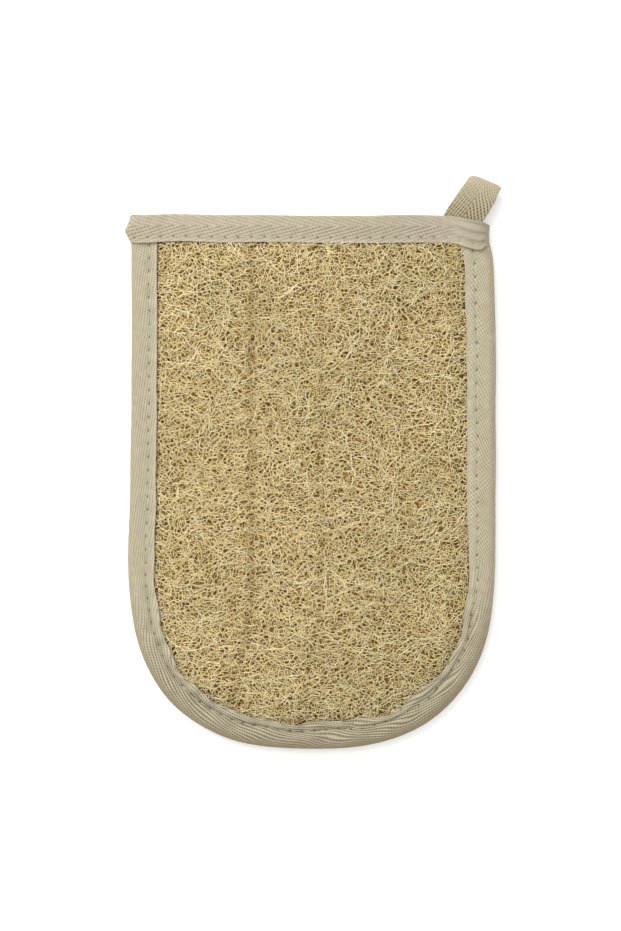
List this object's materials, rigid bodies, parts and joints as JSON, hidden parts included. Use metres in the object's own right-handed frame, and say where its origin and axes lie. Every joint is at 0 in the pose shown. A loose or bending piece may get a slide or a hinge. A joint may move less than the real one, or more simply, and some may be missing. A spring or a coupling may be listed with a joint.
{
  "type": "loofah bath mitt",
  "caption": "Natural loofah bath mitt with a raised fibre net on its front, a terry back, herringbone cotton tape round its edges, a hand pocket and a hanging loop",
  "frame": {"origin": "on the resting plane, at the middle of the flat underside of the terry back", "axes": "+X to the right and +Y to the open mouth as the loofah side is looked at, +Z out of the loofah side"},
  "size_m": [0.1517, 0.2336, 0.0224],
  "materials": {
    "loofah": "matte",
    "terry": "matte",
    "tape": "matte",
    "loop_tape": "matte",
    "thread": "matte"
  },
  "bodies": {
    "root": {"loofah_panel": "loofah", "back_panel": "terry", "edge_binding": "tape", "mouth_binding": "tape", "hanging_loop": "loop_tape", "edge_seam_front": "thread", "edge_seam_back": "thread", "mouth_seam_outer": "thread", "mouth_seam_inner": "thread"}
  },
  "joints": []
}
